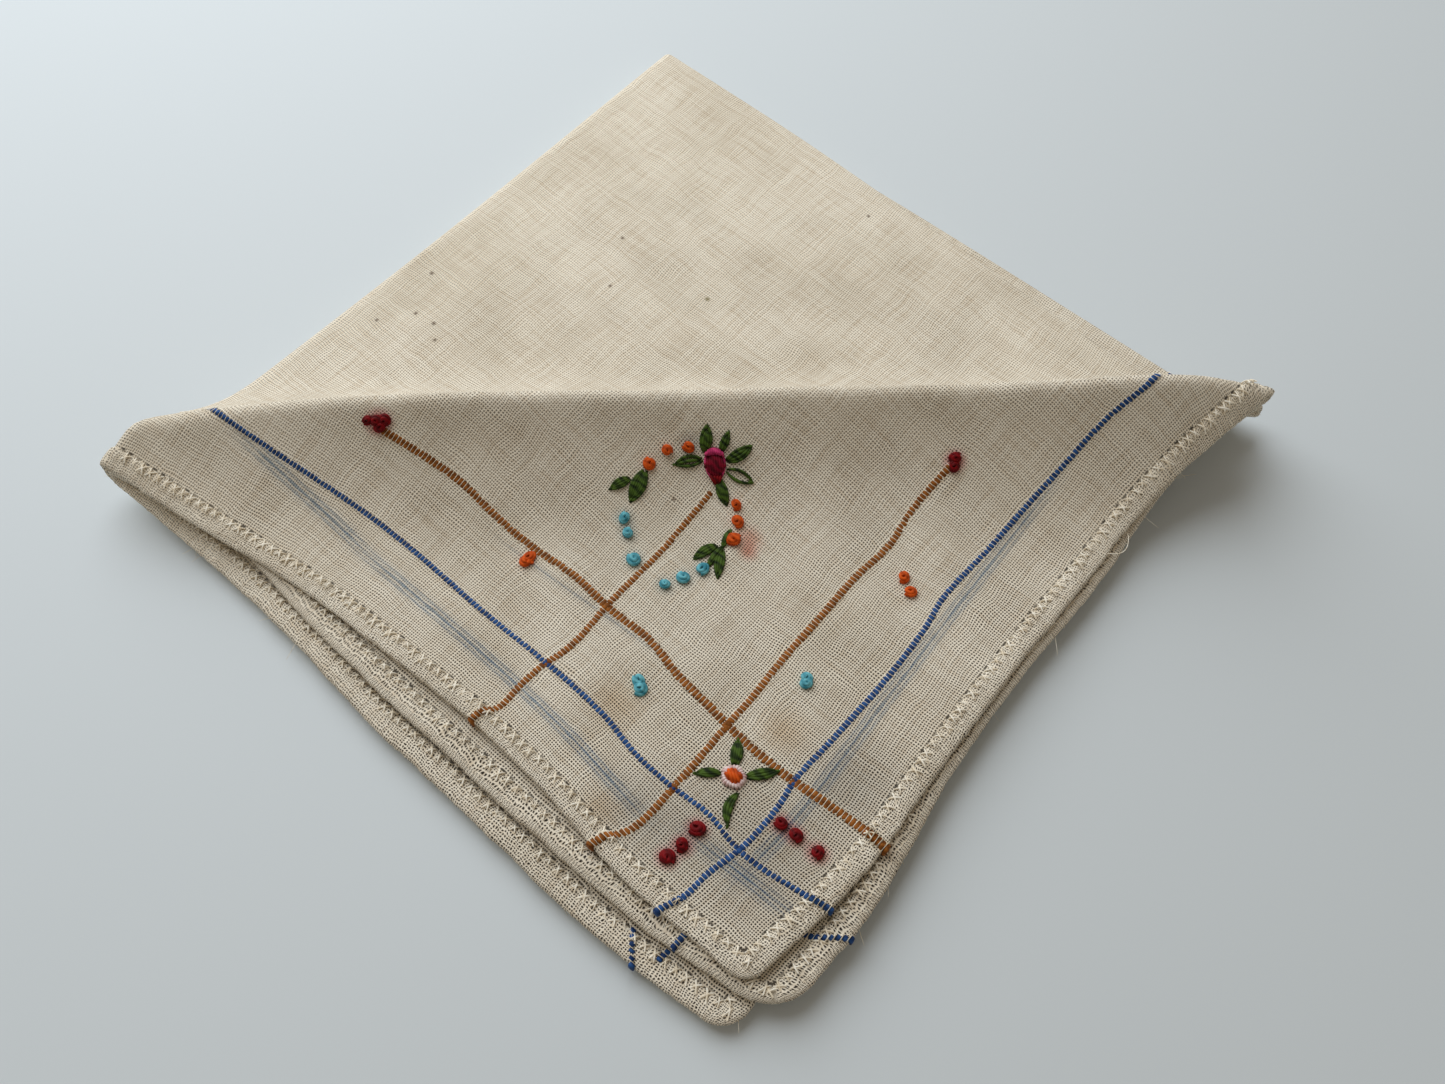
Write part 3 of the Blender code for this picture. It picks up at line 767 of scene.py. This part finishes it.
def buildLines(materials):
    bars = {"Length": ladder["pitch"] * ladder["barLength"] * mm, "Width": mm,
            "Thickness": ladder["barThickness"] * mm, "Seed": 3, "Unevenness": 0.1}
    crosses = {"Length": mm, "Radius": ladder["crossRadius"] * mm,
               "Thickness": ladder["crossThickness"] / 2 * mm, "Seed": 5, "Unevenness": 0.22}
    pieces = []
    for colour in ("blue", "brown"):
        for title, shift, over, maker, sizes, material in (
                ("LineThread", 0.0, 0.0, barUnit, bars, materials[colour]),
                ("LineCrossThread", 0.5, ladder["crossOver"], crossUnit, crosses, materials["cream"])):
            rows = []
            for line in lines.values():
                if line["colour"] == colour:
                    u, v, width, thicker = linePlaces(line, ladder["pitch"], shift)
                    middle, normal, alongU, alongV = surface(u, v)
                    size = np.stack([np.ones_like(width), width + over, thicker], axis=1)
                    rows.append((middle, normal, alongU if line["keeps"] == "v" else alongV, size))
            pieces.append(sewOn(colour + title, rows, maker, sizes, material))
    return pieces


def buildHemStitches(material):
    # along every hem, on both faces of the cloth
    pitch = hem["stitchPitch"]
    stops = np.arange(-76, 77) * pitch + pitch / 2
    stops = stops[np.abs(stops) > hem["foldClear"]]
    noise = np.random.default_rng(31)
    rows = []
    for side in range(4):
        middle, normal, alongU, alongV = surface(*onSide(side, stops, quarter - hem["width"] - 0.15))
        outward = (alongV, alongU, -alongV, -alongU)[side]
        for face in (1, -1):
            # forward is set so that the unit's -Y side is the hem
            upward = normal * face
            uneven = noise.normal(1.0, 0.14, (len(stops), 3))
            rows.append((middle + upward * 0.2, upward, np.cross(upward, outward), uneven))
    sizes = {title: hem["stitch" + title] * mm for title in ("Width", "Reach", "Rise", "Radius")}
    sizes.update({"Seed": 11, "Unevenness": 0.3})
    return sewOn("hemStitches", rows, hemStitchUnit, sizes, material)


# Knots, in mm on the cloth. Those of the wreath are set from its middle: right, then near.
wreath = {"middle": (81.5, 86.5),
          "orange": ((2.4, -8.4), (-1.3, -7.9), (-4.3, -5.7), (9.5, 1.4), (9.4, 4.2), (8.4, 7.5)),
          "lightBlue": ((-9.3, 3.5), (-9.0, 6.1), (-8.3, 10.7), (-3.6, 15.4), (-0.4, 14.2), (2.8, 12.6))}
corner = {"middle": (118.0, 117.0),
          "red": ((-5.9, 8.1), (-8.1, 10.7), (-10.3, 12.6), (6.0, 7.2), (7.7, 9.0), (10.4, 11.5))}
loneKnots = {
    "red": ((35.4, 111.2), (36.5, 110.6), (37.6, 109.6), (37.8, 111.0), (111.2, 50.2), (111.9, 51.2)),
    "orange": ((70.6, 111.8), (70.8, 112.8), (117.5, 72.0), (119.8, 73.4)),
    "lightBlue": ((98.0, 115.9), (98.9, 116.7), (116.4, 96.6), (117.0, 97.4)),
}
knot = {"Inner": 0.2, "Outer": 0.9, "Drop": -0.5, "Radius": 0.38}     # mm
knotLift = 0.95             # mm that a knot's middle stands off the cloth's


def fromMiddleTo(middle, right, near):
    u = middle[0] + (right + near) * math.sqrt(0.5)
    v = middle[1] + (near - right) * math.sqrt(0.5)
    return u, v


def buildKnots(materials):
    sizes = {title: value * mm for title, value in knot.items()}
    sizes.update({"Seed": 21, "Unevenness": 0.3})
    pieces = []
    spin = np.random.default_rng(8)
    for colour in ("red", "orange", "lightBlue"):
        spots = list(loneKnots[colour])
        for group in (wreath, corner):
            spots += [fromMiddleTo(group["middle"], right, near) for right, near in group.get(colour, ())]
        u, v = np.array(spots).T
        middle, normal, alongU, alongV = surface(u, v)
        angle = spin.uniform(0, 2 * math.pi, len(spots))[:, None]
        forward = alongU * np.cos(angle) + alongV * np.sin(angle)
        size = spin.uniform(0.86, 1.1, (len(spots), 1)) * spin.uniform(0.92, 1.08, (len(spots), 3))
        rows = [(middle + normal * knotLift, normal, forward, size)]
        pieces.append(sewOn(colour + "Knots", rows, knotUnit, sizes, materials[colour]))
    return pieces


def threadTube(path, radii, sides=7):
    # points and faces of a closed tube of thread along a path, radii one for each of its points
    path = np.asarray(path, float)
    run = unit(np.gradient(path, axis=0))
    across = unit(np.cross(run, np.array([0.13, 0.21, 1.0])))
    above = np.cross(across, run)
    turn = np.linspace(0, 2 * math.pi, sides, endpoint=False)
    ring = np.cos(turn)[None, :, None] * across[:, None, :] + np.sin(turn)[None, :, None] * above[:, None, :]
    points = (path[:, None, :] + ring * np.asarray(radii)[:, None, None]).reshape(-1, 3)
    faces = gridFaces(len(path), sides, True, closed=True).tolist()
    faces.append(list(range(sides))[::-1])
    faces.append([(len(path) - 1) * sides + number for number in range(sides)])
    return points, faces


def joinTubes(name, tubes, material):
    points, faces = [], []
    for tubePoints, tubeFaces in tubes:
        start = sum(len(part) for part in points)
        points.append(tubePoints)
        faces += [[number + start for number in face] for face in tubeFaces]
    return meshPiece(name, np.concatenate(points), faces, material)


def strand(start, middle, end, radius, high, samples=12, taper=0.35):
    # a stitch from start to end, bent through middle (all in (u, v)), risen off the cloth by high
    t = np.linspace(0, 1, samples)[:, None]
    flat = (1 - t) ** 2 * start + 2 * t * (1 - t) * middle + t * t * end
    rise = 0.15 + (high - 0.15) * np.sin(math.pi * t[:, 0]) ** 0.5
    radii = radius * (taper + (1 - taper) * np.sin(math.pi * np.linspace(0.06, 0.94, samples)) ** 0.5)
    return threadTube(place(flat[:, 0], flat[:, 1], rise), radii)


# Leaves, each worked side by side from its base to its tip (right, near) from the group's middle,
# with its width, how far it bends sideways, and how many threads fill it.
leaves = {
    "wreath": (((5.0, -7.4), (5.7, -11.6), 1.9, 0.0, 3), ((7.7, -7.4), (9.2, -10.6), 1.1, 0.0, 1),
               ((8.5, -5.9), (12.7, -8.2), 1.8, 0.3, 2), ((8.5, -4.3), (12.4, -2.4), 2.0, -0.2, 0),
               ((4.5, -6.2), (-0.2, -5.5), 1.8, 0.3, 1), ((7.1, -2.8), (7.9, 1.2), 1.7, 0.2, 3),
               ((-7.8, -3.3), (-11.3, -1.5), 1.4, 0.2, 2), ((-5.3, -4.6), (-8.1, 0.4), 2.5, -0.2, 5),
               ((5.6, 8.3), (1.8, 10.6), 1.4, 0.2, 2), ((6.5, 9.3), (5.2, 14.0), 1.4, 0.2, 2),
               ((8.2, 5.6), (6.6, 8.6), 0.7, 0.1, 1), ((6.6, 8.6), (3.7, 12.2), 0.8, 0.2, 1)),
    "corner": (((0.3, -1.7), (1.3, -5.9), 1.6, 0.2, 3), ((1.9, -0.1), (6.6, -0.9), 1.4, 0.2, 2),
               ((-1.8, -0.6), (-5.6, -0.5), 1.2, 0.1, 2), ((0.3, 2.6), (-1.6, 7.6), 1.1, 1.4, 1)),
}


def buildLeaves(material):
    tubes = []
    uneven = np.random.default_rng(12)
    for name, group in (("wreath", wreath), ("corner", corner)):
        for base, tip, width, bend, fill in leaves[name]:
            start = np.array(fromMiddleTo(group["middle"], *base))
            end = np.array(fromMiddleTo(group["middle"], *tip))
            run = (end - start) / np.linalg.norm(end - start)
            side = np.array([-run[1], run[0]])
            middle = (start + end) / 2 + side * bend
            for number in range(fill + 2):
                across = (2 * number / (fill + 1) - 1) * width * 0.8
                inner = number not in (0, fill + 1)
                bit = uneven.uniform(-0.25, 0.25, 2)
                tubes.append(strand(start + run * (0.25 * inner + bit[0] * 0.6) + side * across * 0.12,
                                    middle + side * (across + bit[1] * 0.3),
                                    end - run * (0.45 * inner - bit[1]) + side * across * 0.06,
                                    0.29, 0.62 if inner else 0.5))
            tubes.append(strand(end - run * 0.5, end, end + run * 0.35, 0.2, 0.4, samples=5))
    return joinTubes("greenLeaves", tubes, material)


# The rose is satin stitch in an upright oval, and the corner flower is a ring of pale stitches
# round an orange middle. Sizes in mm, from the group's middle.
rose = {"right": 6.55, "near": -5.2, "width": 3.6, "length": 5.6, "threads": 9}
flower = {"innerRadius": 1.1, "outerRadius": 1.75, "petals": 22, "threads": 5}


def buildRose(materials):
    pieces = []
    group = wreath["middle"]
    crimson, pink, red = [], [], []
    half = rose["length"] / 2
    for number in range(rose["threads"]):
        share = 2 * number / (rose["threads"] - 1) - 1
        reach = half * math.sqrt(1.05 - share * share)
        across = rose["right"] + share * rose["width"] * 0.4
        crimson.append(((across, rose["near"] + reach * 0.75), (across + share * 0.3, rose["near"]),
                        (across, rose["near"] - reach * 0.8), 0.3, 0.95 + 0.2 * (1 - share * share)))
        pink.append(((across, rose["near"] - half * 0.5 - 0.15 * reach), (across, rose["near"] - half * 0.75),
                     (across - share * 0.3, rose["near"] - half * 0.72 - 0.3 * reach), 0.26, 1.15))
    for way in (-1, 1):
        edge = rose["right"] + way * rose["width"] * 0.5
        pink.append(((edge - way * 0.5, rose["near"] - 1.8), (edge + way * 0.35, rose["near"]),
                     (rose["right"] + way * 0.6, rose["near"] + half * 0.85), 0.24, 0.75))
    for share in (-0.9, -0.3, 0.3, 0.9):
        red.append(((rose["right"] + share * 1.0, rose["near"] + half * 0.5),
                    (rose["right"] + share * 0.8, rose["near"] + half * 0.8),
                    (rose["right"] + share * 0.25, rose["near"] + half * 1.08), 0.28, 0.8))
    for name, rows, colour in (("roseMiddle", crimson, "crimson"), ("rosePetals", pink, "pink"),
                               ("roseFoot", red, "red")):
        tubes = []
        for *spots, radius, high in rows:
            spots = [np.array(fromMiddleTo(group, *spot)) for spot in spots]
            tubes.append(strand(*spots, radius, high, taper=0.6))
        pieces.append(joinTubes(name, tubes, materials[colour]))
    return pieces


def buildCornerFlower(materials):
    petals, middleThreads = [], []
    for number in range(flower["petals"]):
        angle = 2 * math.pi * number / flower["petals"]
        reach = flower["outerRadius"] * (1 + 0.06 * math.sin(5 * angle + 1))
        spots = [np.array(fromMiddleTo(corner["middle"], math.cos(angle) * r, math.sin(angle) * r))
                 for r in (flower["innerRadius"] * 0.8, (flower["innerRadius"] + reach) / 2, reach)]
        petals.append(strand(*spots, 0.27, 0.7, samples=7, taper=0.6))
    for number in range(flower["threads"]):
        share = (number - (flower["threads"] - 1) / 2) / ((flower["threads"] - 1) / 2)
        reach = flower["innerRadius"] * 1.2 * math.sqrt(1.15 - share * share)
        spots = [np.array(fromMiddleTo(corner["middle"], share * 0.95 + tilt * 0.25, tilt * reach))
                 for tilt in (-1, 0, 1)]
        middleThreads.append(strand(*spots, 0.32, 1.15, samples=9, taper=0.6))
    return [joinTubes("flowerPetals", petals, materials["blush"]),
            joinTubes("flowerMiddle", middleThreads, materials["orange"])]


# Loose ends and fluff along the hems, and one longer end that curls out of the right-hand one.
fibres = {
    "count": 90,
    "length": (0.8, 2.2),           # mm
    "radius": (0.045, 0.025),       # mm, at the root and the tip
    "curl": ((139.6, 46.6), (143.4, 45.6), (140.4, 41.4)),
}


def buildFibres(material):
    noise = np.random.default_rng(17)
    tubes = []
    for number in range(fibres["count"]):
        side = number % 4
        if number % 3:
            stop = noise.uniform(-130, 130)
        else:       # more of them near the corners
            stop = noise.uniform(60, 138) * (1 if side in (0, 1) else -1)
        edge = quarter - noise.uniform(0.0, 1.2)
        u, v = onSide(side, stop, edge)
        start = place([u], [v], [noise.uniform(-0.3, 0.5)])[0]
        out = np.array([start[0] * 0.6, start[1] - 5.0, 0.0])
        way = unit(out) + noise.normal(0, 0.7, 3) * (1, 1, 0.3)
        length = noise.uniform(*fibres["length"])
        t = np.linspace(0, 1, 6)[:, None]
        curl = noise.normal(0, 0.5, 3) * (1, 1, 0.3)
        path = start + way * t * length + curl * t * t
        tubes.append(threadTube(path, np.linspace(*fibres["radius"], 6), sides=4))
    curl = [np.array(spot) for spot in fibres["curl"]]
    tubes.append(strand(*curl, 0.07, 1.0, taper=0.6))
    return joinTubes("looseFibres", tubes, material)


tableGap = 0.02             # mm


def pressOnTable(piece):
    # stitches on the underside are pressed flat by the table
    places = np.empty(3 * len(piece.data.vertices))
    piece.data.vertices.foreach_get("co", places)
    places[2::3] = np.maximum(places[2::3], tableGap * mm)
    piece.data.vertices.foreach_set("co", places)
    piece.data.update()


def buildFloor():
    material, _, shader = newMaterial("matt painted board")       # plain and pale
    setInputs(shader, {"Base Color": toLinear("#D8E0E4"), "Roughness": 0.7})
    bpy.ops.mesh.primitive_plane_add(size=4.0, location=(0, 0, 0))
    floor = bpy.context.object
    floor.name = "floor"
    floor.data.materials.append(material)


lights = {
    "window": {"at": (-0.18, 0.35, 0.42), "size": 0.75, "power": 3.85, "colour": "#F0F5FA"},
    "room": {"colour": "#F1E4D2", "strength": 0.29},
}


def buildLights():
    data = bpy.data.lights.new("window", "AREA")
    data.shape = "DISK"
    data.size = lights["window"]["size"]
    data.energy = lights["window"]["power"]
    data.color = toLinear(lights["window"]["colour"])[:3]
    window = newObject("window", data)
    at = np.array(lights["window"]["at"])
    window.location = at
    window.rotation_euler = Vector(-at).to_track_quat("-Z", "Y").to_euler()
    world = bpy.data.worlds.new("room")
    bpy.context.scene.world = world
    world.use_nodes = True
    setInputs(world.node_tree.nodes["Background"],
              {"Color": toLinear(lights["room"]["colour"]), "Strength": lights["room"]["strength"]})


view = {
    "focal": 1240.9,        # pixels of the photograph's frame
    "elevation": 59.19,     # degrees above the table
    "azimuth": -3.84,
    "distance": 204.37,     # mm
    "target": (3.33, -22.02, 0.0),
}


def buildCamera():
    azimuth, elevation = math.radians(view["azimuth"]), math.radians(view["elevation"])
    back = np.array([math.sin(azimuth) * math.cos(elevation), -math.cos(azimuth) * math.cos(elevation),
                     math.sin(elevation)])
    data = bpy.data.cameras.new("camera")
    data.sensor_width = 36.0
    data.lens = view["focal"] * data.sensor_width / frameWidth
    data.clip_start = 0.01
    data.clip_end = 20.0
    camera = newObject("camera", data)
    camera.location = (np.array(view["target"]) + back * view["distance"]) * mm
    camera.rotation_euler = Vector(-back).to_track_quat("-Z", "Y").to_euler()
    bpy.context.scene.camera = camera


buildCamera()
buildLights()
buildFloor()
bpy.context.scene.view_settings.view_transform = "Standard"
print("camera, lights and floor made")

sheetLinen = linenMaterial("plain-woven linen", False)
hemLinen = linenMaterial("turned linen hem", True)
cottons = {colour: cottonMaterial("mercerised cotton " + colour, colour) for colour in threadColours}

sheet = buildSheet(sheetLinen)
hemPiece = buildHem(hemLinen)
print("cloth made")

sewn = [buildHemStitches(cottons["cream"]), *buildLines(cottons), *buildKnots(cottons),
        buildLeaves(cottons["green"]), *buildRose(cottons), *buildCornerFlower(cottons),
        buildFibres(cottons["cream"])]
print("stitches made")

for piece in (sheet, hemPiece, *sewn):
    pressOnTable(piece)

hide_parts("handkerchief")
for piece in (sheet, hemPiece, *sewn):
    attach(piece, "root")
